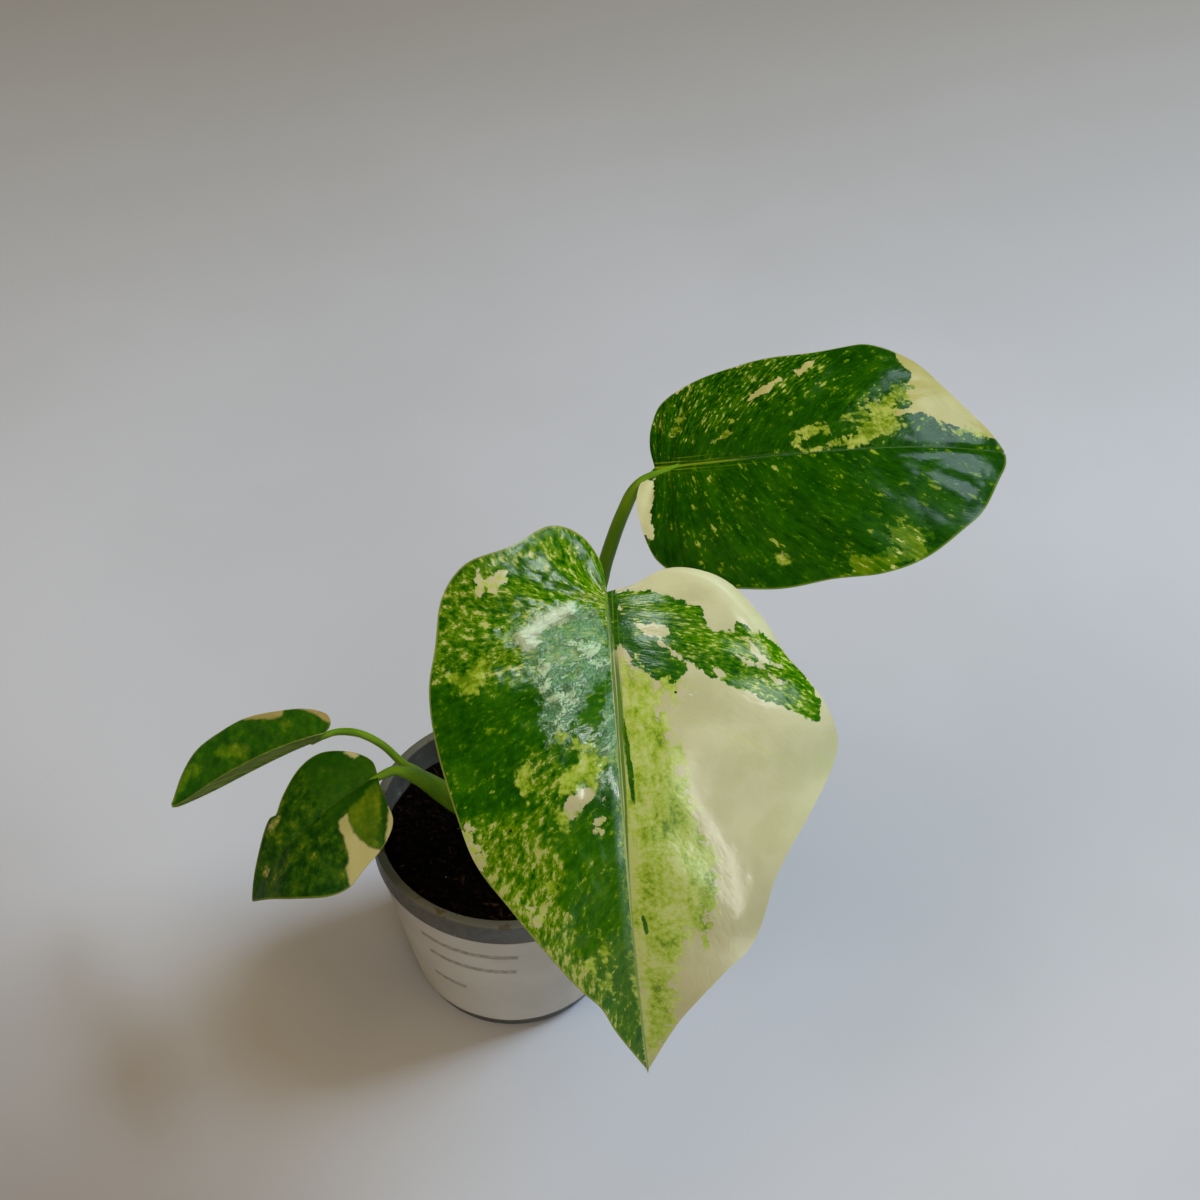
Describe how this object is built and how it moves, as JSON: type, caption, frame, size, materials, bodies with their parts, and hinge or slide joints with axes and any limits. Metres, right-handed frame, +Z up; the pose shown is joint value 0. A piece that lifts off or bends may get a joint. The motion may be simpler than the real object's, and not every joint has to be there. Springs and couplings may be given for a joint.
{
  "type": "potted monstera",
  "caption": "Young variegated monstera: marbled green and cream heart-shaped leaves on slender stalks, in dark soil in a small grey plastic nursery pot with a plain paper wrap.",
  "frame": {"origin": "centre of the flat underside of the pot", "axes": "+Z up along the pot's axis, +X to the right and +Y away from a viewer who faces the plant's large front leaf"},
  "size_m": [0.1863, 0.1264, 0.16],
  "materials": {
    "pot": "satin",
    "pot_label": "matte",
    "soil": "matte",
    "stem": "satin",
    "leaf_front": "satin",
    "leaf_back": "satin",
    "leaf_low": "satin",
    "leaf_folded": "satin"
  },
  "bodies": {
    "root": {"pot": "pot", "pot_label": "pot_label", "soil": "soil", "stem": "stem", "leaf_front": "leaf_front", "leaf_back": "leaf_back", "leaf_low": "leaf_low", "leaf_folded": "leaf_folded"}
  },
  "joints": []
}
